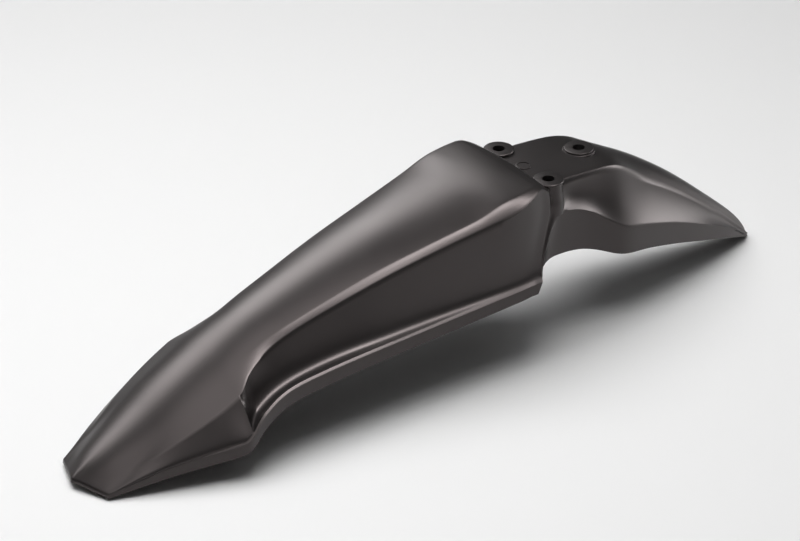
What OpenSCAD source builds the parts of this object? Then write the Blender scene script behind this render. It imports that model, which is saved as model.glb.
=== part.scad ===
// Motorcycle front mudguard, one injection-moulded shell in black plastic.
// +X points to the nose, +Y to the left side, +Z up; millimetres.
// The origin is the middle of the two front bolt holes, on their seat face.

/* [Reach] */
// nose corner ahead of the front bolts
nose_reach = 456; // [430:1:490]
// how far the middle of the nose lip stands ahead of its corners
nose_point = 14; // [4:1:22]
// tail tip behind the front bolts
tail_reach = 260; // [240:1:285]
// nose and tail lips below the bolt seats
rest_drop = 155; // [146:1:166]

/* [Shell] */
// wall thickness
wall = 2.6; // [2.2:0.1:3.4]
// height of the raised panel's rear edge over the seats, on the centre line
panel_step = 11.5; // [8:0.5:15]
// half width of the panel at its rear edge
panel_half = 58.5; // [55:0.5:62]
// half width of the panel where it is narrowest
neck_half = 38.5; // [34:0.5:43]
// half width over the lower edge of the side walls
skirt_half = 68; // [66:0.5:74]
// half width over the nose corners
nose_half = 76.5; // [73:0.5:82]
// half width of the nose lip
tip_half = 34.5; // [28:0.5:40]
// height of the flat flange along the side walls
flange = 12.5; // [8:0.5:16]
// depth of the hollow in the side walls
recess = 7; // [3:0.5:9]
// height of the lip under the nose point
lip = 3.6; // [2.5:0.1:5]

/* [Rear part] */
// half width over the waist between the fork legs
waist_half = 48.5; // [46:0.5:52]
// half width of the flat mounting pad
pad_half = 43; // [40:0.5:45]
// pad face below the front bolt seats
pad_drop = 2.4; // [1.5:0.1:3.5]
// depth of the scoop beside the rear ridge
scoop = 5; // [1:0.5:8]

/* [Mounting] */
// spacing of the two front bolt holes across the part
bolt_spacing = 70; // [68:1:74]
// rear bolt hole behind the front pair
rear_bolt = 61.5; // [56:0.5:66]
// rear seat below the front seats
rear_seat_drop = 3.3; // [2.5:0.1:4.5]
// diameter of the bolt holes
hole_d = 11; // [9:0.5:13]
// diameter of the front bosses
boss_d = 27; // [25:0.5:29]
// diameter of the rear boss
rear_boss_d = 29; // [26:0.5:31]
// length of the front boss sleeves under the seats
boss_depth = 31; // [24:1:36]
// plate left under the bolt heads
seat_plate = 4; // [3:0.5:5]
// outer diameter of the ring mark between the front bolts
mark_d = 14; // [11:0.5:16]

/* [Hidden] */

panel_rear = 26;
rear_edge_lag = 14;
rear_edge_lead = 9;
pad_front = panel_rear - 1.5;
recess_end = nose_reach * 0.741;
corner_x = nose_reach * 0.759;
waist_front = 6;

top_cols = 7;
bevel_cols = 2;
side_cols = 8;
flange_cols = 2;
half_cols = top_cols + bevel_cols + side_cols + flange_cols;

// smooth value at x through a list of [x, value] pairs in rising x
function knot_slope(k, i) =
  i <= 0 ? (k[1][1] - k[0][1]) / (k[1][0] - k[0][0])
  : i >= len(k) - 1 ? (k[i][1] - k[i - 1][1]) / (k[i][0] - k[i - 1][0])
  : (k[i + 1][1] - k[i - 1][1]) / (k[i + 1][0] - k[i - 1][0]);
function knot_below(k, x, i = 0) =
  i >= len(k) - 2 || x < k[i + 1][0] ? i : knot_below(k, x, i + 1);
function track(k, x) =
  let (i = knot_below(k, x),
    w = k[i + 1][0] - k[i][0],
    t = min(max((x - k[i][0]) / w, 0), 1),
    a = knot_slope(k, i) * w,
    b = knot_slope(k, i + 1) * w)
  k[i][1] * (1 + 2 * t) * (1 - t) * (1 - t) + a * t * (1 - t) * (1 - t)
  + k[i + 1][1] * t * t * (3 - 2 * t) + b * t * t * (t - 1);
function mix(a, b, t) = a + (b - a) * t;
function soft(t) = let (c = min(max(t, 0), 1)) c * c * (3 - 2 * c);

// front part: share of the nose reach, then height as a share of the drop
function ahead(list) = [for (p = list) [p[0] * nose_reach, p[1] * rest_drop]];
function wide(list) = [for (p = list) [p[0] * nose_reach, p[1]]];
front_top = ahead([[0.055, 0.075], [0.08, 0.079], [0.22, 0.013], [0.43, -0.119],
  [0.64, -0.318], [0.741, -0.45], [0.866, -0.65], [1, -0.945]]);
front_ridge_z = ahead([[0.055, 0.045], [0.075, 0.01], [0.11, -0.045], [0.22, -0.092], [0.43, -0.215],
  [0.64, -0.408], [0.702, -0.49], [0.741, -0.585], [0.866, -0.755], [1, -0.96]]);
front_ridge_y = wide([[0.055, panel_half], [0.22, panel_half - 1.8], [0.43, mix(panel_half, neck_half, 0.58)],
  [0.64, neck_half], [0.741, neck_half + 7], [0.82, neck_half + 3.5], [1, tip_half * 0.72]]);
bevel_y = wide([[0.055, 11], [0.11, 13], [0.18, 8], [0.43, 7], [0.64, 6.5], [0.741, 9], [1, 8]]);
bevel_z = wide([[0.055, 2.5], [0.075, 6], [0.11, 9], [0.18, 6.5], [0.43, 5.5], [0.64, 5], [0.741, 6], [1, 0.8]]);
skirt_y = wide([[0.055, skirt_half], [0.43, skirt_half - 1], [0.57, skirt_half - 2],
  [0.655, skirt_half - 1], [0.741, nose_half - 2], [0.759, nose_half], [1, tip_half]]);
skirt_z = ahead([[0.055, -0.488], [0.43, -0.536], [0.57, -0.564], [0.655, -0.6],
  [0.71, -0.69], [0.759, -0.78], [0.88, -0.85], [1, -0.965]]);
flange_h = wide([[0.055, flange - 0.5], [0.43, flange + 1], [0.7, flange + 2], [0.759, flange - 0.5],
  [0.88, flange * 0.76], [1, lip + 0.8]]);

// rear part: share of the tail reach
function behind(list) = [for (p = list) [-p[0] * tail_reach, p[1] * rest_drop]];
function astern(list) = [for (p = list) [-p[0] * tail_reach, p[1]]];
rear_top = behind([[1, -0.955], [0.985, -0.91], [0.94, -0.82], [0.815, -0.632], [0.63, -0.375], [0.446, -0.166],
  [0.323, -0.069], [0.25, -0.042], [-0.05, -0.016]]);
rear_ridge_z = behind([[1, -0.972], [0.94, -0.905], [0.865, -0.79], [0.71, -0.578], [0.56, -0.396], [0.404, -0.234],
  [0.262, -0.098], [0.2, -0.057], [0.08, -0.036], [-0.05, -0.034]]);
rear_ridge_y = astern([[1, 3], [0.94, 7], [0.865, 11], [0.71, 19], [0.56, 24.5], [0.404, 30.5], [0.262, pad_half - 5],
  [0.2, pad_half - 2], [0.08, pad_half], [-0.05, pad_half]]);
rear_crease_z = behind([[1, -0.98], [0.94, -0.9], [0.865, -0.83], [0.71, -0.69], [0.56, -0.574], [0.404, -0.477],
  [0.29, -0.42], [0.21, -0.33], [0.13, -0.235], [0.05, -0.198], [-0.05, -0.2]]);
rear_crease_y = astern([[1, 4.5], [0.94, 11], [0.865, 18], [0.71, 29], [0.56, 38], [0.404, waist_half - 2.5],
  [0.29, waist_half + 0.5], [0.21, waist_half], [-0.05, waist_half]]);
rear_edge_z = behind([[1, -1], [0.865, -0.9], [0.71, -0.803], [0.56, -0.713], [0.404, -0.634],
  [0.27, -0.587], [0.17, -0.512], [0.09, -0.466], [0, -0.452], [-0.05, -0.455]]);

// the five hard lines of half a section: crest, bevel, ridge, shelf, lower edge
function front_lines(x) =
  let (t = track(front_top, x), rz = track(front_ridge_z, x), ry = track(front_ridge_y, x),
    by = track(bevel_y, x), bz = track(bevel_z, x), sy = track(skirt_y, x),
    sz = track(skirt_z, x), fh = track(flange_h, x))
  [[x, 0, t], [x, ry - by, rz + bz], [x, ry, rz], [x, sy, sz], [x, sy + 0.4, sz - fh]];
function rear_lines(x) =
  let (t = track(rear_top, x), rz = track(rear_ridge_z, x), ry = track(rear_ridge_y, x),
    cz = track(rear_crease_z, x), cy = track(rear_crease_y, x), ez = track(rear_edge_z, x),
    flat = soft((x + 0.5 * tail_reach) / (0.3 * tail_reach)),
    by = mix(0.8, 0.88, flat) * ry,
    bz = mix(mix(t, rz, 0.64), mix(t, rz, 0.15), flat))
  [[x, 0, t], [x, by, bz], [x, ry, rz], [x, cy, cz], [x, cy + 0.3, ez]];

// rear edge of the side walls leans: it reaches back below the panel and forward at the skirt
function lean(z) =
  let (d = max(0, -z - 1) / 9)
  rear_edge_lead * pow(max(0, -z) / 87, 1.6) - rear_edge_lag * d * exp(1 - d);
function lean_share(x) = 1 - soft((x - panel_rear) / 42);
function waist_share(x) = soft((x + 42) / 50);

// one station: hard lines joined by the crest, bevel, side and flange curves
function side_point(a, b, t, dish) =
  let (d = [b[1] - a[1], b[2] - a[2]],
    m = max(norm(d), 0.01),
    bow = dish * sin(180 * pow(t, 0.85)))
  [mix(a[0], b[0], t), mix(a[1], b[1], t) + bow * d[1] / m, mix(a[2], b[2], t) - bow * d[0] / m];
function section(h, dish) = concat(
  [for (j = [0:top_cols - 1]) let (t = j / top_cols)
    [mix(h[0][0], h[1][0], t), h[1][1] * t, mix(h[0][2], h[1][2], t * t)]],
  [for (j = [0:bevel_cols - 1]) let (t = j / bevel_cols)
    mix(h[1], h[2], t) + [0, 0.6, 0.6] * sin(180 * t)],
  [for (j = [0:side_cols - 1]) side_point(h[2], h[3], j / side_cols, dish)],
  [for (j = [0:flange_cols]) mix(h[3], h[4], j / flange_cols)]);

function front_dish(x) =
  x < recess_end ? recess * (1 - soft((x - 0.6 * nose_reach) / (0.3 * nose_reach)) * 1)
    * min(1, (recess_end - x) / 42)
  : -1.5 * soft((x - recess_end) / 20) * soft((nose_reach - x) / 30);
function rear_dish(x) = scoop * soft((-x - 45) / 50) * soft((tail_reach + x) / 60) + 1;
function leaned(s, x) = [for (p = s) [p[0] + lean(p[2]) * lean_share(x), p[1], p[2]]];
function front_station(x) = leaned(section(front_lines(x), front_dish(x)), x);
function rear_station(x) = [for (p = section(rear_lines(x), rear_dish(x)))
  [p[0] + lean(p[2]) * waist_share(x), p[1], p[2]]];

// nose: the lip runs ahead to a shallow point and turns down
function nose_push(s, x) = [for (p = s)
  let (k = soft((x - 0.87 * nose_reach) / (0.13 * nose_reach)))
  [p[0] + nose_point * k * max(0, 1 - p[1] / tip_half), p[1], p[2]]];
nose_edge = nose_push(front_station(nose_reach), nose_reach);
nose_lip = [for (j = [0:half_cols]) let (p = nose_edge[j], q = nose_edge[half_cols])
  j == half_cols ? [p[0] + 0.6, p[1], p[2] - 0.2]
  : [p[0] + 1, p[1], max(p[2] - lip, q[2] + 0.4 * (1 - j / half_cols))]];
nose_roll = [for (j = [0:half_cols]) mix(nose_edge[j], nose_lip[j], 0.22) + [0.55, 0, 0]];

// tail: the last station turns down to the rest line
tail_edge = rear_station(-tail_reach);
tail_lip = [for (j = [0:half_cols]) let (p = tail_edge[j])
  [p[0] - 0.8, p[1], mix(p[2], tail_edge[half_cols][2], 0.8) - 0.2]];

// step from the raised panel to the pad, and from the side walls in to the waist
panel_station = front_station(panel_rear);
waist_station = rear_station(waist_front);
function step_row(top_back, back, top_in, side_in, drop) = [for (j = [0:half_cols])
  let (a = panel_station[j], b = waist_station[j],
    k = soft((j - top_cols) / bevel_cols),
    z = mix(a[2], b[2], mix(top_in, drop, k)))
  [panel_rear + lean(z) - mix(top_back, back, k), mix(a[1], b[1], mix(top_in, side_in, k)), z]];
step_rows = [step_row(9, 12, 1, 0.86, 0.8), step_row(4, 6, 1, 0.6, 0.45), step_row(1.2, 0.6, 0.97, 0.22, 0.1)];

front_x = [for (k = [0:1:4]) panel_rear + 2.5 * k,
  for (k = [1:1:23]) panel_rear + 10 + (recess_end - panel_rear - 10) * k / 23,
  recess_end + 3, corner_x, for (k = [1:1:9]) mix(corner_x, nose_reach, k / 9)];
rear_x = [for (k = [0:1:19]) waist_front - (0.93 * tail_reach + waist_front) * k / 19,
  for (k = [1:1:3]) -tail_reach * (0.93 + 0.07 * (1 - pow(1 - k / 3, 2)))];
half_stations = concat(
  [tail_lip],
  [for (k = [len(rear_x) - 1:-1:0]) rear_station(rear_x[k])],
  step_rows,
  [for (x = front_x) nose_push(front_station(x), x)],
  [nose_roll, nose_lip]);
rows = len(half_stations);
cols = 2 * half_cols + 1;

// whole sections, right edge to left edge
outer = [for (s = half_stations)
  [for (j = [-half_cols:half_cols]) let (p = s[abs(j)]) [p[0], j < 0 ? -p[1] : p[1], p[2]]]];
function unit(v) = v / max(norm(v), 0.0001);
function skin_normal(i, j) =
  let (a = outer[min(i + 1, rows - 1)][j] - outer[max(i - 1, 0)][j],
    b = outer[i][min(j + 1, cols - 1)] - outer[i][max(j - 1, 0)])
  unit(cross(unit(a), unit(b)));
inner = [for (i = [0:rows - 1]) [for (j = [0:cols - 1]) outer[i][j] - wall * skin_normal(i, j)]];

function quad(a, b, c, d) = [[a, b, c], [a, c, d]];
module shell() {
  n = rows * cols;
  polyhedron(
    points = concat([for (s = outer) each s], [for (s = inner) each s]),
    faces = concat(
      [for (i = [0:rows - 2]) for (j = [0:cols - 2]) let (a = i * cols + j)
        each quad(a, a + 1, a + cols + 1, a + cols)],
      [for (i = [0:rows - 2]) for (j = [0:cols - 2]) let (a = n + i * cols + j)
        each quad(a, a + cols, a + cols + 1, a + 1)],
      [for (i = [0:rows - 2]) let (a = i * cols) each quad(a, a + cols, a + cols + n, a + n)],
      [for (i = [0:rows - 2]) let (a = i * cols + cols - 1) each quad(a, a + n, a + cols + n, a + cols)],
      [for (j = [0:cols - 2]) each quad(j, j + n, j + 1 + n, j + 1)],
      [for (j = [0:cols - 2]) let (a = (rows - 1) * cols + j) each quad(a, a + 1, a + 1 + n, a + n)]));
}

module front_mudguard() {
  color([0.13, 0.12, 0.13])
  difference() {
    union() {
      shell();
      for (side = [-1, 1])
        translate([0, side * bolt_spacing / 2, -boss_depth])
          cylinder(d = boss_d, h = boss_depth, $fn = 64);
      translate([-rear_bolt, 0, -rear_seat_drop - 16])
        cylinder(d = rear_boss_d, h = 14.4, $fn = 64);
      translate([-rear_bolt, 0, -rear_seat_drop - 4])
        cylinder(d = rear_boss_d - 3, h = 4, $fn = 64);
      translate([0, 0, -pad_drop - 1])
        cylinder(d = mark_d, h = 1.7, $fn = 64);
    }
    for (side = [-1, 1])
      translate([0, side * bolt_spacing / 2, 0]) {
        translate([0, 0, -boss_depth - 8])
          cylinder(d = boss_d - 2 * wall, h = boss_depth + 8 - seat_plate, $fn = 64);
        translate([0, 0, -boss_depth])
          cylinder(d = hole_d, h = boss_depth + 5, $fn = 64);
      }
    translate([-rear_bolt, 0, 0]) {
      translate([0, 0, -rear_seat_drop - 30])
        cylinder(d = rear_boss_d - 2 * wall, h = 30 - seat_plate - 1, $fn = 64);
      translate([0, 0, -rear_seat_drop - 30])
        cylinder(d = hole_d, h = 40, $fn = 64);
    }
    translate([0, 0, -pad_drop + 0.1])
      cylinder(d = mark_d - 3, h = 3, $fn = 64);
  }
}

front_mudguard();
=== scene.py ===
import bpy
import bmesh
import math
from mathutils import Matrix, Vector


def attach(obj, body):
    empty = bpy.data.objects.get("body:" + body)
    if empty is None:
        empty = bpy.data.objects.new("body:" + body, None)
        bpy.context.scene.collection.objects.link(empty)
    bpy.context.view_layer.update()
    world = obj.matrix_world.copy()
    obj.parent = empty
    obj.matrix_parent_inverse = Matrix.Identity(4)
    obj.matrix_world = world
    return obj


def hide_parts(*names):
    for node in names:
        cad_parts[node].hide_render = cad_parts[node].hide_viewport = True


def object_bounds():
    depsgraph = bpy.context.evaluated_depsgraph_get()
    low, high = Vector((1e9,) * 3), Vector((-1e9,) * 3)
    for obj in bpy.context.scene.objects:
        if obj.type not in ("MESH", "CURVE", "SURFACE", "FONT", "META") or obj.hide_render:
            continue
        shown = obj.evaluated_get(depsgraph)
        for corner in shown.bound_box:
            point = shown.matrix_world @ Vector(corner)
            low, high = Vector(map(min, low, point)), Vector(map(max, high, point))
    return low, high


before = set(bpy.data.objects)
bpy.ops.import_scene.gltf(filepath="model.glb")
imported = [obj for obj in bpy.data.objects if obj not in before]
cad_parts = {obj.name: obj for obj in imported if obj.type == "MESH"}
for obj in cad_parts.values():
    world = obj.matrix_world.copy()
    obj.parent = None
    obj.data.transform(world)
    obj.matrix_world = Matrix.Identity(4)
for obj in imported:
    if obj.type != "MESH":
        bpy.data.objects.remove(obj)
cadLow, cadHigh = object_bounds()
mm = 0.001


# the shell's own sizes, in millimetres from the middle of the front bolt holes
shellSizes = {
    "noseReach": 456,
    "nosePoint": 14,
    "tailReach": 260,
    "restDrop": 154.8,
    "wall": 2.6,
    "panelStep": 11,
    "panelHalf": 57,
    "shoulderHalf": 64.5,
    "neckHalf": 38.5,
    "skirtHalf": 68,
    "noseHalf": 76.3,
    "tipHalf": 34.5,
    "flange": 12.5,
    "recess": 5,
    "lip": 3.6,
    "waistHalf": 48.5,
    "padHalf": 39.5,
    "padDrop": 2.4,
    "scoop": 1.2,
    "panelRear": 16,
    "rearEdgeLag": 3.5,
    "rearEdgeRise": 7,
    "rearEdgeLead": 12,
    "leadDepth": 87,
    "lagDepth": 9,
    "waistFront": -3,
    "recessClose": 16,
    "recessPower": 0.6,
    "recessAtPanel": 0.6,  # share of the recess where it starts
    "recessGrowth": 200,
    "frontDeep": 5.5,
    # shares of the nose reach
    "deepFrom": 0.42,
    "deepOver": 0.24,
    "pushFrom": 0.87,
    "pushOver": 0.13,
    "pointFrom": 0.95,
    "pointOver": 0.05,
    "ridgeFadeOver": 0.17,
    "shelfFadeFrom": 0.9,
    "shelfFadeOver": 0.1,
    # starts and lengths of the turns, behind and ahead of the bolts
    "rearLean": (-42, 50),
    "waistTurn": (-16, 16),
    "scoopTurn": (45, 35),  # measured towards the tail
    "bevelCreaseIn": (10, 5),
    "bevelCreaseOut": (60, 120),
    # plain lengths and shares
    "ridgeFadeStart": 10,
    "noseSwell": 1.2,
    "swellIn": 20,
    "swellOut": 30,
    "wallBlend": 42,
    "waistDish": 3.5,
    "waistSwell": 2.5,
    "rearLow": 0.45,
    "rearTight": 0.667,
    "bevelRounding": 0.34,
    "noseRounding": 0.6,
    "roundingLead": 50,
    "roundingOver": 60,
    "steepestBevel": 0.9,
    "tailStart": 0.93,
    "tailSteps": (1, 0.66, 0.33),
    "tailDrop": 0.8,
    "rollShare": 0.22,
    "rollOut": 0.55,
    "steps": [  # back at the crest and the side, shares inward at the crest and the side, share down
        (9, 12, 1, 0.86, 0.8),
        (4, 6, 1, 0.6, 0.45),
        (1.2, 0.6, 0.97, 0.22, 0.1),
    ],
    "rollPitch": 1.5,
    "rollStations": 10,
    "hollowStations": 42,
    "closeStations": 8,
    "endSteps": (1.5, 4),
    "noseStations": 14,
    "rearStations": 28,
    "rollRow": 4,  # rows ahead of the wall's edge
    "topColumns": 8,
    "bevelColumns": 6,
    "sideColumns": 12,
    "flangeColumns": 3,
    "ridgeCrease": 0.92,
    "rearRidgeShare": 0.9,
    "shelfCrease": 0.92,
    "bevelCrease": 0.15,
    "hollowLow": 0.93,
    "hollowTight": 0.88,
    "pocketLow": 0.97,
    "pocketTight": 0.9,
    "ledge": 1.8,
    "ledgeChamfer": 0.9,
    "ledgeFade": 0.7,
    "ledgeFadeOver": 60,
    "ledgeEnd": 1.02,
    "ledgeEndOver": 40,
    "hollowEndCrease": 0.85,
    "wallEdgeCrease": 0.7,
    "rollCrease": 0.5,
    "rimCrease": 0.8,
    "sharpAngle": 32,
}
s = shellSizes
recessEnd = 0.741 * s["noseReach"]
cornerX = 0.759 * s["noseReach"]
halfColumns = s["topColumns"] + s["bevelColumns"] + s["sideColumns"] + s["flangeColumns"]


# small helpers for smooth curves
def knotSlope(k, i):
    a, b = max(i - 1, 0), min(i + 1, len(k) - 1)
    return (k[b][1] - k[a][1]) / (k[b][0] - k[a][0])


def track(k, x):
    i = 0
    while i < len(k) - 2 and x >= k[i + 1][0]:
        i += 1
    w = k[i + 1][0] - k[i][0]
    t = min(max((x - k[i][0]) / w, 0), 1)
    a, b = knotSlope(k, i) * w, knotSlope(k, i + 1) * w
    return (k[i][1] * (1 + 2 * t) * (1 - t) ** 2 + a * t * (1 - t) ** 2
            + k[i + 1][1] * t * t * (3 - 2 * t) + b * t * t * (t - 1))


def mix(a, b, t):
    return a + (b - a) * t


def soft(t):
    t = min(max(t, 0), 1)
    return t * t * (3 - 2 * t)


def rise(x, start, length):  # 0 up to start, then a smooth climb to 1
    return soft((x - start) / length)


def addObject(name, data):
    obj = bpy.data.objects.new(name, data)
    bpy.context.scene.collection.objects.link(obj)
    return obj


def ahead(pairs):
    return [(p * s["noseReach"], q * s["restDrop"]) for p, q in pairs]


def wide(pairs):
    return [(p * s["noseReach"], q) for p, q in pairs]


def behind(pairs):
    return [(-p * s["tailReach"], q * s["restDrop"]) for p, q in pairs]


def astern(pairs):
    return [(-p * s["tailReach"], q) for p, q in pairs]


# the front part's lines: share of the nose reach, then share of the drop or half width
frontTop = [(s["panelRear"], s["panelStep"] - 5.5), (s["panelRear"] + 2.5, s["panelStep"] - 2.4),
            (s["panelRear"] + 6, s["panelStep"] - 0.5), (s["panelRear"] + 20, s["panelStep"] + 1.4)]
frontTop += ahead([(0.136, 0.068), (0.22, 0.024), (0.43, -0.118), (0.64, -0.318), (0.741, -0.45),
                   (0.866, -0.65), (1, -0.945)])
frontRidgeZ = ahead([(0.035, 0.004), (0.055, 0.044), (0.088, 0.017), (0.123, -0.023), (0.175, -0.056),
                     (0.298, -0.128), (0.43, -0.215), (0.588, -0.35), (0.64, -0.405), (0.702, -0.492),
                     (0.741, -0.57), (0.866, -0.75), (1, -0.96)])
frontRidgeY = wide([(0.035, s["panelHalf"] - 2), (0.055, s["panelHalf"]),
                    (0.088, s["shoulderHalf"] - 1.5), (0.132, s["shoulderHalf"]),
                    (0.193, s["shoulderHalf"] - 4), (0.298, s["shoulderHalf"] - 10.4),
                    (0.43, mix(s["shoulderHalf"], s["neckHalf"], 0.655)), (0.64, s["neckHalf"]),
                    (0.702, s["neckHalf"] + 6), (0.741, s["neckHalf"] + 15.5),
                    (0.866, s["neckHalf"] + 8.5), (1, s["tipHalf"] * 0.76)])
bevelY = wide([(0.035, 9), (0.055, 8), (0.09, 9.5), (0.136, 10.5), (0.2, 7), (0.43, 6.5), (0.64, 6),
               (0.741, 16), (0.866, 15), (1, 9)])
bevelZ = wide([(0.035, 3.8), (0.055, 1.8), (0.09, 6), (0.136, 11), (0.2, 7.5), (0.43, 6), (0.64, 5.4),
               (0.741, 8.5), (0.866, 7.5), (1, 1)])
skirtY = wide([(0.055, s["skirtHalf"]), (0.43, s["skirtHalf"] - 1), (0.57, s["skirtHalf"] - 2),
               (0.655, s["skirtHalf"] - 1), (0.71, s["noseHalf"] - 5), (0.741, s["noseHalf"] - 0.7),
               (0.759, s["noseHalf"]), (0.772, s["noseHalf"] - 2), (1, s["tipHalf"])])
skirtZ = ahead([(0.055, -0.488), (0.43, -0.536), (0.57, -0.564), (0.655, -0.596), (0.71, -0.665),
                (0.741, -0.74), (0.759, -0.772), (0.88, -0.85), (1, -0.965)])
flangeHeight = wide([(0.055, s["flange"] - 0.5), (0.43, s["flange"] + 1), (0.7, s["flange"] + 2),
                     (0.759, s["flange"] - 0.5), (0.88, s["flange"] * 0.76), (1, s["lip"] + 0.8)])

# the rear part's lines: share of the tail reach
rearTop = behind([(1, -0.955), (0.985, -0.91), (0.94, -0.82), (0.815, -0.632), (0.63, -0.375),
                  (0.446, -0.166), (0.323, -0.069)])
rearTop += [(-0.25 * s["tailReach"], -s["padDrop"] - 4.1), (-s["panelRear"], -s["padDrop"] - 0.5),
            (s["panelRear"], -s["padDrop"])]
rearRidgeZ = behind([(1, -0.972), (0.94, -0.905), (0.865, -0.79), (0.71, -0.578), (0.56, -0.396),
                     (0.404, -0.234), (0.3, -0.125), (0.22, -0.072), (0.12, -0.056), (-0.05, -0.055)])
rearRidgeY = astern([(1, 3), (0.94, 7), (0.865, 11), (0.71, 19), (0.56, 24.5), (0.404, 30.5),
                     (0.3, s["padHalf"] - 3), (0.22, s["padHalf"] - 1), (0.12, s["padHalf"]),
                     (-0.05, s["padHalf"])])
rearCreaseZ = behind([(1, -0.98), (0.94, -0.9), (0.865, -0.83), (0.71, -0.69), (0.56, -0.574),
                      (0.404, -0.477), (0.29, -0.42), (0.21, -0.33), (0.13, -0.235), (0.05, -0.192),
                      (-0.05, -0.165)])
rearCreaseY = astern([(1, 4.5), (0.94, 11), (0.865, 18), (0.71, 29), (0.56, 38),
                      (0.404, s["waistHalf"] - 2), (0.29, s["waistHalf"] + 2.5),
                      (0.21, s["waistHalf"] - 0.5), (0.12, s["waistHalf"] - 2.5),
                      (0.03, s["waistHalf"] - 1), (-0.05, s["waistHalf"] + 1.5)])
rearEdgeZ = behind([(1, -1), (0.865, -0.9), (0.71, -0.803), (0.56, -0.713), (0.404, -0.634),
                    (0.27, -0.587), (0.17, -0.512), (0.09, -0.466), (0, -0.452), (-0.05, -0.455)])


def frontLines(x):  # crest, bevel, ridge, shelf and lower edge of half a section
    top, rz, ry = track(frontTop, x), track(frontRidgeZ, x), track(frontRidgeY, x)
    by, bz, sy = track(bevelY, x), track(bevelZ, x), track(skirtY, x)
    sz, fh = track(skirtZ, x), track(flangeHeight, x)
    return [Vector((x, 0, top)), Vector((x, ry - by, rz + bz)), Vector((x, ry, rz)),
            Vector((x, sy, sz)), Vector((x, sy + 0.4, sz - fh))]


def rearLines(x):
    top, rz, ry = track(rearTop, x), track(rearRidgeZ, x), track(rearRidgeY, x)
    cz, cy, ez = track(rearCreaseZ, x), track(rearCreaseY, x), track(rearEdgeZ, x)
    flat = rise(x, -0.5 * s["tailReach"], 0.3 * s["tailReach"])
    by = mix(0.8, 0.93, flat) * ry
    bz = mix(mix(top, rz, 0.64), mix(top, rz, 0.07), flat)
    return [Vector((x, 0, top)), Vector((x, by, bz)), Vector((x, ry, rz)),
            Vector((x, cy, cz)), Vector((x, cy + 0.3, ez))]


def lean(z):  # the side walls' rear edge reaches back below the panel and forward at the skirt
    d = max(0, -z - 1) / s["lagDepth"]
    return (s["rearEdgeLead"] * (max(0, -z) / s["leadDepth"]) ** 4
            - s["rearEdgeLag"] * d * math.exp(1 - d) + s["rearEdgeRise"] * rise(d, 1, 5))


def bend(a, c, b, t):
    return a * (1 - t) ** 2 + c * 2 * t * (1 - t) + b * t * t


def sidePull(a, b, dish, low):
    d = b - a
    return mix(a, b, low) + Vector((0, d.z, -d.y)) * 2 * dish / max(math.hypot(d.y, d.z), 0.01)


def sideBend(a, b, dish, low, tight, t):  # tight turns the curve more sharply at its deepest place
    pull = sidePull(a, b, dish, low)
    c, d = mix(a, pull, tight), mix(b, pull, tight)
    return a * (1 - t) ** 3 + c * 3 * t * (1 - t) ** 2 + d * 3 * t * t * (1 - t) + b * t ** 3


def bevelPull(h):  # nearly straight beside the hollow, rounder on the nose
    fall = 2 * (h[0].z - h[1].z) / max(h[1].y, 1)
    rounding = s["noseRounding"]
    if h[0].x >= 0:
        onNose = rise(h[0].x, recessEnd - s["roundingLead"], s["roundingOver"])
        rounding = mix(s["bevelRounding"], rounding, onNose)
    w = rounding * (h[2].y - h[1].y)
    return h[1] + Vector((0, w, -w * min(fall, s["steepestBevel"])))


def section(h, dish, low, tight, ledge):  # half a section, from the crest to the lower edge
    row = []
    shelfIn, shelfDown = h[3] - Vector((0, ledge, 0)), h[3] - Vector((0, 0, s["ledgeChamfer"] * ledge))
    for j in range(s["topColumns"]):
        t = j / s["topColumns"]
        row.append(Vector((mix(h[0].x, h[1].x, t), h[1].y * t, mix(h[0].z, h[1].z, t * t))))
    for j in range(s["bevelColumns"]):
        row.append(bend(h[1], bevelPull(h), h[2], j / s["bevelColumns"]))
    for j in range(s["sideColumns"]):
        row.append(sideBend(h[2], shelfIn, dish, low, tight, j / s["sideColumns"]))
    row.append(shelfIn)
    for j in range(s["flangeColumns"]):
        row.append(mix(shelfDown, h[4], j / (s["flangeColumns"] - 1)))
    return row


def noseRise(x, start, length):  # start and length as shares of the nose reach
    return rise(x, start * s["noseReach"], length * s["noseReach"])


def deepening(x):  # towards the nose the hollow gets deeper and its fold tighter
    return noseRise(x, s["deepFrom"], s["deepOver"])


def frontDish(x):
    if x < recessEnd:
        depth = s["recess"] * mix(s["recessAtPanel"], 1, rise(x, s["panelRear"], s["recessGrowth"]))
        depth += s["frontDeep"] * deepening(x)
        return depth * min(1, (recessEnd - x) / s["recessClose"]) ** s["recessPower"]
    swell = -s["noseSwell"] * rise(x, recessEnd, s["swellIn"])
    return swell * soft((s["noseReach"] - x) / s["swellOut"])


def beadAt(x):  # the thin bead on the shelf line, finer on the nose
    fade = 1 - s["ledgeFade"] * rise(x, recessEnd, s["ledgeFadeOver"])
    return s["ledge"] * fade * soft((s["ledgeEnd"] * s["noseReach"] - x) / s["ledgeEndOver"])


def frontStation(x):
    share = 1 - rise(x, s["panelRear"], s["wallBlend"])
    row = section(frontLines(x), frontDish(x), mix(s["hollowLow"], s["pocketLow"], deepening(x)),
                  mix(s["hollowTight"], s["pocketTight"], deepening(x)), beadAt(x))
    return [p + Vector((lean(p.z) * share, 0, 0)) for p in row]


def rearStation(x):
    share = rise(x, *s["rearLean"])
    dish = mix(s["waistDish"], -s["waistSwell"], rise(x, *s["waistTurn"]))
    dish += (s["scoop"] - s["waistDish"]) * rise(-x, *s["scoopTurn"])
    row = section(rearLines(x), dish, s["rearLow"], s["rearTight"], 0)
    return [p + Vector((lean(p.z) * share, 0, 0)) for p in row]


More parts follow.
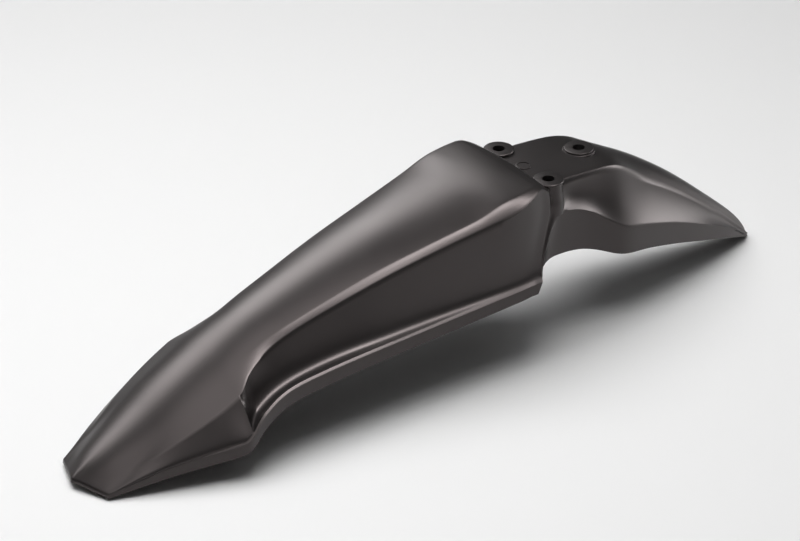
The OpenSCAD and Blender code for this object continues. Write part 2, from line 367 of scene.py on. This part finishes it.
def nosePush(row, x):  # the lip runs ahead to a shallow point
    k = noseRise(x, s["pushFrom"], s["pushOver"])
    point = noseRise(x, s["pointFrom"], s["pointOver"])
    pushed = []
    for p in row:
        share = min(1, p.y / s["tipHalf"])
        pushed.append(p + Vector((s["nosePoint"] * k * mix(1 - share ** 2, 1 - share, point), 0, 0)))
    return pushed


def noseRows():  # the last station turns down into the lip
    edge = nosePush(frontStation(s["noseReach"]), s["noseReach"])
    end = edge[halfColumns]
    lip = []
    for j, p in enumerate(edge[:halfColumns]):
        floor = end.z + 0.4 * (1 - j / halfColumns)
        lip.append(Vector((p.x + 1, p.y, max(p.z - s["lip"], floor))))
    lip.append(end + Vector((0.6, 0, -0.2)))
    roll = [mix(a, b, s["rollShare"]) + Vector((s["rollOut"], 0, 0)) for a, b in zip(edge, lip)]
    return [roll, lip]


def tailRow():  # the first station turns down to the rest line
    edge = rearStation(-s["tailReach"])
    low = edge[halfColumns].z
    return [Vector((p.x - 0.8, p.y, mix(p.z, low, s["tailDrop"]) - 0.2)) for p in edge]


def stepRow(topBack, back, topIn, sideIn, drop):  # from the raised panel down to pad and waist
    panel, waist = frontStation(s["panelRear"]), rearStation(s["waistFront"])
    row = []
    for j in range(halfColumns + 1):
        a, b = panel[j], waist[j]
        k = soft((j - s["topColumns"]) / s["bevelColumns"])
        z = mix(a.z, b.z, mix(topIn, drop, k))
        row.append(Vector((s["panelRear"] + lean(z) - mix(topBack, back, k),
                           mix(a.y, b.y, mix(topIn, sideIn, k)), z)))
    return row


def frontPlaces():  # where the stations ahead of the step stand
    start, close, pitch = s["panelRear"], s["recessClose"], s["rollPitch"]
    roll, hollow = s["rollStations"], s["hollowStations"]
    ending, nose = s["closeStations"], s["noseStations"]
    places = [start + pitch * k for k in range(roll + 1)]
    places += [mix(start + pitch * roll, recessEnd - close, k / hollow) for k in range(1, hollow + 1)]
    places += [recessEnd - close * k * k / ending ** 2 for k in range(ending - 1, -1, -1)]
    places += [recessEnd + step for step in s["endSteps"]]
    return places + [mix(cornerX, s["noseReach"], k / nose) for k in range(nose + 1)]


def shellRows():
    rear, tail, count = s["waistFront"], s["tailStart"], s["rearStations"]
    back = tail * s["tailReach"] + rear
    rows = [tailRow()]
    for k in s["tailSteps"]:
        rows.append(rearStation(-s["tailReach"] * (tail + (1 - tail) * (1 - (1 - k) ** 2))))
    for k in range(count, -1, -1):
        rows.append(rearStation(rear - back * k / count))
    rows += [stepRow(*step) for step in s["steps"]]
    rows += [nosePush(frontStation(x), x) for x in frontPlaces()]
    return rows + noseRows()


def bevelCrease(x):
    return s["bevelCrease"] * rise(x, *s["bevelCreaseIn"]) * (1 - rise(x, *s["bevelCreaseOut"]))


def ridgeCrease(x):  # fades out on the smooth nose
    if x < 0:
        return s["rearRidgeShare"] * s["ridgeCrease"]
    fade = rise(x, recessEnd + s["ridgeFadeStart"], s["ridgeFadeOver"] * s["noseReach"])
    return s["ridgeCrease"] * (1 - fade)


def shelfCrease(x):
    return s["shelfCrease"] * (1 - noseRise(x, s["shelfFadeFrom"], s["shelfFadeOver"]))


def mirrored(row):
    left = list(row)
    right = [Vector((p.x, -p.y, p.z)) for p in row[:0:-1]]
    return right + left


def shellCage(name):  # outer and inner skins as quads, joined round the rim
    outer = [mirrored(row) for row in shellRows()]
    rows, columns = len(outer), len(outer[0])

    def skinNormal(i, j):
        along = outer[min(i + 1, rows - 1)][j] - outer[max(i - 1, 0)][j]
        across = outer[i][min(j + 1, columns - 1)] - outer[i][max(j - 1, 0)]
        return along.normalized().cross(across.normalized()).normalized()

    bm = bmesh.new()
    crease = bm.edges.layers.float.new("crease_edge")
    skinOut = [[bm.verts.new(p * mm) for p in row] for row in outer]
    skinIn = [[bm.verts.new((outer[i][j] - skinNormal(i, j) * s["wall"]) * mm)
               for j in range(columns)] for i in range(rows)]
    for i in range(rows - 1):
        for j in range(columns - 1):
            a, b = skinOut[i], skinOut[i + 1]
            bm.faces.new((a[j], b[j], b[j + 1], a[j + 1]))
            a, b = skinIn[i], skinIn[i + 1]
            bm.faces.new((a[j], a[j + 1], b[j + 1], b[j]))
    for j in (0, columns - 1):
        for i in range(rows - 1):
            bm.faces.new((skinOut[i][j], skinIn[i][j], skinIn[i + 1][j], skinOut[i + 1][j]))
    for i in (0, rows - 1):
        for j in range(columns - 1):
            bm.faces.new((skinOut[i][j], skinOut[i][j + 1], skinIn[i][j + 1], skinIn[i][j]))
    bmesh.ops.recalc_face_normals(bm, faces=bm.faces)

    # the moulding's hard lines and its rim stay crisp when the cage is smoothed
    def mark(a, b, amount):
        edge = bm.edges.get((a, b))
        edge[crease] = max(edge[crease], amount)

    middle = columns // 2
    ridge, shelf = s["topColumns"] + s["bevelColumns"], halfColumns - s["flangeColumns"]
    hollowEnd = min(range(rows), key=lambda i: abs(outer[i][middle].x - recessEnd))
    wallEdge = min(range(rows), key=lambda i: abs(outer[i][middle].x - s["panelRear"]))
    rollLine = wallEdge + s["rollRow"]
    across = ((hollowEnd, shelf, s["hollowEndCrease"]), (wallEdge, halfColumns, s["wallEdgeCrease"]))
    for skin in (skinOut, skinIn):
        for i in range(rows - 1):
            x = outer[i][middle].x
            along = [(s["topColumns"], bevelCrease(x)), (ridge, ridgeCrease(x)),
                     (shelf, shelfCrease(x))]
            if x > 0:
                along.append((shelf + 1, shelfCrease(x)))
            for line, amount in along:
                for j in (middle - line, middle + line):
                    mark(skin[i][j], skin[i + 1][j], amount)
            for j in (0, columns - 1):
                mark(skin[i][j], skin[i + 1][j], s["rimCrease"])
        for j in range(-s["topColumns"], s["topColumns"]):
            mark(skin[rollLine][middle + j], skin[rollLine][middle + j + 1], s["rollCrease"])
        for i, last, amount in across:
            for j in range(ridge, last):
                mark(skin[i][middle + j], skin[i][middle + j + 1], amount)
                mark(skin[i][middle - j], skin[i][middle - j - 1], amount)
        for i in (0, rows - 1):
            for j in range(columns - 1):
                mark(skin[i][j], skin[i][j + 1], s["rimCrease"])

    mesh = bpy.data.meshes.new(name)
    bm.to_mesh(mesh)
    bm.free()
    obj = addObject(name, mesh)
    smooth = obj.modifiers.new("smoothCage", "SUBSURF")
    smooth.levels = smooth.render_levels = 1
    smooth.boundary_smooth = "PRESERVE_CORNERS"
    return obj


# bosses and holes, in millimetres
mountSizes = {
    "boltSpacing": 70,
    "rearBolt": 61.5,
    "rearSeatDrop": 3.3,
    "holeDiameter": 11,
    "bossDiameter": 27,
    "rearBossDiameter": 29,
    "bossDepth": 31,
    "discHeight": 2,
    "discEdge": 1,
    "discEase": 0.9,
    "discCorner": 0.3,
    "swell": 0.7,
    "swellTop": 18,
    "swellRise": 5,
    "swellCorner": 0.25,
    "rearDiscStep": 3,
    "rearDiscHeight": 1.6,
    "rearDiscRoot": 4,
    "rearEdge": 0.5,
    "rearBossDepth": 16,
    "ribThickness": 2.2,
    "ribHeight": 13,
    "ribTop": 2,
    "ribLap": 2,
    "ribSpread": 3,
    "ribStart": 4,
    "seatPlate": 4,
    "markDiameter": 14,
    "markHeight": 0.7,
    "markEdge": 0.2,
    "markRing": 3,
    "markFloor": 0.1,
    "cutBelow": 8,
    "cutAbove": 5,
    "rearCutBelow": 30,
    "rearCutAbove": 10,
    "roundSteps": 96,
}
m = mountSizes


def addSolid(name, points, faces):
    mesh = bpy.data.meshes.new(name)
    mesh.from_pydata([Vector(p) * mm for p in points], [], faces)
    return addObject(name, mesh)


def turned(profile, x, y):  # an upright turned solid from (radius, height) pairs, bottom to top
    n = m["roundSteps"]
    points = []
    for radius, z in profile:
        for k in range(n):
            a = 2 * math.pi * k / n
            points.append((x + radius * math.cos(a), y + radius * math.sin(a), z))
    faces = [list(range(n))[::-1], [len(points) - n + k for k in range(n)]]
    for i in range(len(profile) - 1):
        for k in range(n):
            q = (k + 1) % n
            faces.append((i * n + k, i * n + q, (i + 1) * n + q, (i + 1) * n + k))
    return addSolid("turned", points, faces)


def roundedRim(r, high, edge):  # a quarter circle from the side up to the top
    return [(r - edge + edge * math.cos(a), high - edge + edge * math.sin(a))
            for a in (0, math.pi / 6, math.pi / 3, math.pi / 2)]


def drum(diameter, low, high, x, y, edge=0.0):  # a plain cylinder, its upper rim rounded by edge
    r = diameter / 2
    rim = roundedRim(r, high, edge) if edge else [(r, high)]
    return turned([(r, low)] + rim, x, y)


def frontBoss(y):  # thin disc, narrower neck, swelling that runs into the waist wall
    disc, corner = m["bossDiameter"] / 2, m["discCorner"]
    neck, swell = disc - m["discEdge"], disc + m["swell"]
    top, under = -m["swellTop"], -m["discHeight"]
    profile = [(swell, -m["bossDepth"]), (swell, top - 3), (swell - m["swellCorner"], top - 1),
               (neck, top + m["swellRise"]), (neck, under), (disc - corner, under),
               (disc, under + corner)]
    return turned(profile + roundedRim(disc, 0, m["discEase"]), 0, y)


def rib(x0, y0, x1, y1, low, high):  # an upright rib between two points under the pad
    way = Vector((x1 - x0, y1 - y0, 0)).normalized() * m["ribThickness"] / 2
    side = Vector((-way.y, way.x, 0))
    ends = [Vector((x0, y0, 0)) - side, Vector((x1, y1, 0)) - side,
            Vector((x1, y1, 0)) + side, Vector((x0, y0, 0)) + side]
    points = [(p.x, p.y, z) for z in (low, high) for p in ends]
    return addSolid("rib", points, [(3, 2, 1, 0), (4, 5, 6, 7), (0, 1, 5, 4), (1, 2, 6, 5),
                                    (2, 3, 7, 6), (3, 0, 4, 7)])


def joinInto(shell, tools, operation):  # adds or cuts the tools, then deletes them
    for tool in tools:
        step = shell.modifiers.new(operation, "BOOLEAN")
        step.operation = operation
        step.solver = "MANIFOLD"
        step.object = tool
    graph = bpy.context.evaluated_depsgraph_get()
    done = bpy.data.meshes.new_from_object(shell.evaluated_get(graph))
    old = shell.data
    shell.modifiers.clear()
    shell.data = done
    bpy.data.meshes.remove(old)
    for tool in tools:
        data = tool.data
        bpy.data.objects.remove(tool)
        bpy.data.meshes.remove(data)


def underRibs():  # one between the front bosses, two from there to the rear boss
    side, rearX, rearZ = m["boltSpacing"] / 2, -m["rearBolt"], -m["rearSeatDrop"]
    low, high = -s["padDrop"] - m["ribHeight"], -s["padDrop"] - m["ribTop"]
    inset, spread = m["bossDiameter"] / 2 - m["ribLap"], m["ribSpread"]
    return [rib(0, inset - side, 0, side - inset, low, high)] + [
        rib(rearX + inset - spread, 0, m["ribStart"] - inset, sign * (side - inset + spread),
            low + rearZ, high + rearZ) for sign in (-1, 1)]


def buildMudguard():
    shell = shellCage("mudguardShell")
    side, pad, seat = m["boltSpacing"] / 2, -s["padDrop"], m["seatPlate"]
    rearX, rearZ, rearD = -m["rearBolt"], -m["rearSeatDrop"], m["rearBossDiameter"]
    bosses = [frontBoss(y) for y in (-side, side)]
    edge, low, root = m["rearEdge"], rearZ - m["rearBossDepth"], rearZ - m["rearDiscRoot"]
    bosses += [drum(rearD, low, rearZ - m["rearDiscHeight"], rearX, 0, edge),
               drum(rearD - m["rearDiscStep"], root, rearZ, rearX, 0, edge),
               drum(m["markDiameter"], pad - 1, pad + m["markHeight"], 0, 0, m["markEdge"])]
    joinInto(shell, bosses + underRibs(), "UNION")
    neck = 2 * m["discEdge"] + 2 * s["wall"]
    cuts = []
    for y in (-side, side):
        cuts += [drum(m["bossDiameter"] - neck, -m["bossDepth"] - m["cutBelow"], -seat, 0, y),
                 drum(m["holeDiameter"], -m["bossDepth"], m["cutAbove"], 0, y)]
    below, ringLow = rearZ - m["rearCutBelow"], pad + m["markFloor"]
    cuts += [drum(rearD - neck, below, rearZ - seat - 1, rearX, 0),
             drum(m["holeDiameter"], below, rearZ + m["rearCutAbove"], rearX, 0),
             drum(m["markDiameter"] - m["markRing"], ringLow, ringLow + 3, 0, 0)]
    joinInto(shell, cuts, "DIFFERENCE")
    shell.data.shade_smooth()
    shell.data.set_sharp_from_angle(angle=math.radians(s["sharpAngle"]))
    return shell


mudguard = buildMudguard()
print("shell built:", len(mudguard.data.polygons), "faces")


# finish of the moulded plastic
plasticFinish = {
    "colour": (0.0085, 0.0080, 0.0081, 1),
    "wornColour": (0.0130, 0.0120, 0.0118, 1),
    "sheenTint": (1, 0.87, 0.86, 1),
    "ior": 1.54,
    "roughness": 0.36,
    "roughnessSpread": 0.06,
    "patchSize": 14,
    "patchDetail": 5,
    "grainSize": 1600,
    "grainDepth": 0.00003,
    "grainStrength": 0.5,
}


def mouldedPlastic(name):
    f = plasticFinish
    material = bpy.data.materials.new(name)
    material.use_nodes = True
    nodes, links = material.node_tree.nodes, material.node_tree.links
    shader = nodes["Principled BSDF"]
    shader.inputs["IOR"].default_value = f["ior"]
    shader.inputs["Specular Tint"].default_value = f["sheenTint"]
    place = nodes.new("ShaderNodeTexCoord")

    # broad patches where handling has dulled or polished the skin
    patches = nodes.new("ShaderNodeTexNoise")
    patches.inputs["Scale"].default_value = f["patchSize"]
    patches.inputs["Detail"].default_value = f["patchDetail"]
    links.new(place.outputs["Object"], patches.inputs["Vector"])
    sheen = nodes.new("ShaderNodeMapRange")
    sheen.inputs["To Min"].default_value = f["roughness"] - f["roughnessSpread"]
    sheen.inputs["To Max"].default_value = f["roughness"] + f["roughnessSpread"]
    links.new(patches.outputs["Fac"], sheen.inputs["Value"])
    links.new(sheen.outputs["Result"], shader.inputs["Roughness"])

    # a faint change of tone over the same patches
    tone = nodes.new("ShaderNodeMix")
    tone.data_type = "RGBA"
    tone.inputs["A"].default_value = f["colour"]
    tone.inputs["B"].default_value = f["wornColour"]
    links.new(patches.outputs["Fac"], tone.inputs["Factor"])
    links.new(tone.outputs["Result"], shader.inputs["Base Color"])

    # fine grain of the mould
    grain = nodes.new("ShaderNodeTexNoise")
    grain.inputs["Scale"].default_value = f["grainSize"]
    links.new(place.outputs["Object"], grain.inputs["Vector"])
    bump = nodes.new("ShaderNodeBump")
    bump.inputs["Distance"].default_value = f["grainDepth"]
    bump.inputs["Strength"].default_value = f["grainStrength"]
    links.new(grain.outputs["Fac"], bump.inputs["Height"])
    links.new(bump.outputs["Normal"], shader.inputs["Normal"])
    return material


plastic = mouldedPlastic("blackPlastic")
mudguard.data.materials.clear()
mudguard.data.materials.append(plastic)
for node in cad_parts.values():
    for slot in node.material_slots:
        slot.material = plastic
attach(mudguard, "root")
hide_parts("front_mudguard")
print("plastic finish on")


# floor and light
onPanel = (0.1, 0, -0.05)
studio = {
    "floorZ": cadLow[2],
    "floorSize": 8,
    "floorColour": (0.82, 0.82, 0.82, 1),
    "paperRoughness": 0.9,
    "roomColour": (0.03, 0.03, 0.03, 1),
    "paleRadius": 1.1,
    "fadeWidth": 0.7,
    "worldColour": (1, 0.99, 0.98, 1),
    "worldStrength": 0.06,
    "backdropLevel": 0.86,
    "backdropNear": 1.0,
    "backdropFar": 1.9,
    "lamps": [  # name, place, aimed at, size, watts, lights the paper, is mirrored
        ("overhead", (0.4, -0.25, 1.65), onPanel, (1.8, 1.8), 46, True, False),
        ("rightCard", (0.2, -1.55, 1.2), onPanel, (2.0, 1.0), 38, False, True),
        ("bevelStrip", (-0.2, 0.85, 1.5), onPanel, (1.0, 0.85), 42, False, True),
        ("rearCard", (-1.85, 0.55, 0.35), (-0.1, 0, -0.05), (0.8, 0.8), 21, False, True),
        ("frontCard", (0.8, 0.3, 1.7), onPanel, (1.3, 1.6), 15, False, True),
    ],
}


def beyond(nodes, links, radius, near, far, rayKind):  # 0 to 1 between two radii, for one kind of ray
    fade = nodes.new("ShaderNodeMapRange")
    fade.interpolation_type = "SMOOTHSTEP"
    fade.inputs["From Min"].default_value = near
    fade.inputs["From Max"].default_value = far
    links.new(radius.outputs["Value"], fade.inputs["Value"])
    seen = nodes.new("ShaderNodeMath")
    seen.operation = "MULTIPLY"
    links.new(fade.outputs["Result"], seen.inputs[0])
    links.new(rayKind, seen.inputs[1])
    return seen.outputs["Value"]


def paperSweep():  # pale lit paper; reflections see it end at a radius, where the dark room begins
    material = bpy.data.materials.new("paperSweep")
    material.use_nodes = True
    nodes, links = material.node_tree.nodes, material.node_tree.links
    paper = nodes["Principled BSDF"]
    paper.inputs["Base Color"].default_value = studio["floorColour"]
    paper.inputs["Roughness"].default_value = studio["paperRoughness"]
    room = nodes.new("ShaderNodeBsdfDiffuse")
    room.inputs["Color"].default_value = studio["roomColour"]
    place = nodes.new("ShaderNodeTexCoord")
    radius = nodes.new("ShaderNodeVectorMath")
    radius.operation = "LENGTH"
    links.new(place.outputs["Object"], radius.inputs[0])
    ray = nodes.new("ShaderNodeLightPath")
    pale, end = studio["paleRadius"], studio["paleRadius"] + studio["fadeWidth"]
    dark = beyond(nodes, links, radius, pale, end, ray.outputs["Is Glossy Ray"])
    both = nodes.new("ShaderNodeMixShader")
    links.new(dark, both.inputs["Fac"])
    links.new(paper.outputs["BSDF"], both.inputs[1])
    links.new(room.outputs["BSDF"], both.inputs[2])

    # the camera sees the far paper run on evenly into the pale backdrop
    near, far = studio["backdropNear"], studio["backdropFar"]
    shown = beyond(nodes, links, radius, near, far, ray.outputs["Is Camera Ray"])
    backdrop = nodes.new("ShaderNodeEmission")
    backdrop.inputs["Color"].default_value = studio["worldColour"]
    backdrop.inputs["Strength"].default_value = studio["backdropLevel"]
    whole = nodes.new("ShaderNodeMixShader")
    links.new(shown, whole.inputs["Fac"])
    links.new(both.outputs["Shader"], whole.inputs[1])
    links.new(backdrop.outputs["Emission"], whole.inputs[2])
    links.new(whole.outputs["Shader"], nodes["Material Output"].inputs["Surface"])
    return material


def studioFloor():
    half = studio["floorSize"] / 2
    mesh = bpy.data.meshes.new("studioFloor")
    corners = [(-half, -half), (half, -half), (half, half), (-half, half)]
    mesh.from_pydata([(x, y, studio["floorZ"]) for x, y in corners], [], [(0, 1, 2, 3)])
    floor = addObject("studioFloor", mesh)
    mesh.materials.append(paperSweep())


def studioLight():
    world = bpy.data.worlds.new("studioWorld")
    bpy.context.scene.world = world
    world.use_nodes = True
    nodes, links = world.node_tree.nodes, world.node_tree.links
    sky = nodes["Background"]
    sky.inputs["Color"].default_value = studio["worldColour"]
    ray = nodes.new("ShaderNodeLightPath")
    level = nodes.new("ShaderNodeMapRange")
    level.inputs["To Min"].default_value = studio["worldStrength"]
    level.inputs["To Max"].default_value = studio["backdropLevel"]
    links.new(ray.outputs["Is Camera Ray"], level.inputs["Value"])
    links.new(level.outputs["Result"], sky.inputs["Strength"])
    for name, place, aim, size, watts, onPaper, mirrored in studio["lamps"]:
        lamp = bpy.data.lights.new(name, "AREA")
        lamp.shape = "RECTANGLE"
        lamp.size, lamp.size_y = size
        lamp.energy = watts
        obj = addObject(name, lamp)
        obj.visible_diffuse = onPaper
        obj.visible_glossy = mirrored
        obj.location = place
        obj.rotation_euler = (Vector(aim) - Vector(place)).to_track_quat("-Z", "Y").to_euler()


# the photograph's view
cameraSetup = {
    "fromX": 53.48,  # degrees from the nose direction towards the left side
    "rise": 29.22,
    "distance": 3.469,
    "lens": 180,
    "sensor": 36,
    "across": -0.1070,
    "up": -0.0930,
}


def photoCamera():
    c = cameraSetup
    a, e = math.radians(c["fromX"]), math.radians(c["rise"])
    toCamera = Vector((math.cos(e) * math.cos(a), math.cos(e) * math.sin(a), math.sin(e)))
    right = Vector((-math.sin(a), math.cos(a), 0))
    up = toCamera.cross(right)
    camera = bpy.data.cameras.new("photoCamera")
    camera.lens = c["lens"]
    camera.sensor_width = c["sensor"]
    obj = addObject("photoCamera", camera)
    turn = Matrix((right, up, toCamera)).transposed().to_4x4()
    spot = toCamera * c["distance"] + right * c["across"] + up * c["up"]
    obj.matrix_world = Matrix.Translation(spot) @ turn
    bpy.context.scene.camera = obj


studioFloor()
studioLight()
photoCamera()
bpy.context.scene.view_settings.view_transform = "Standard"
print("studio ready")
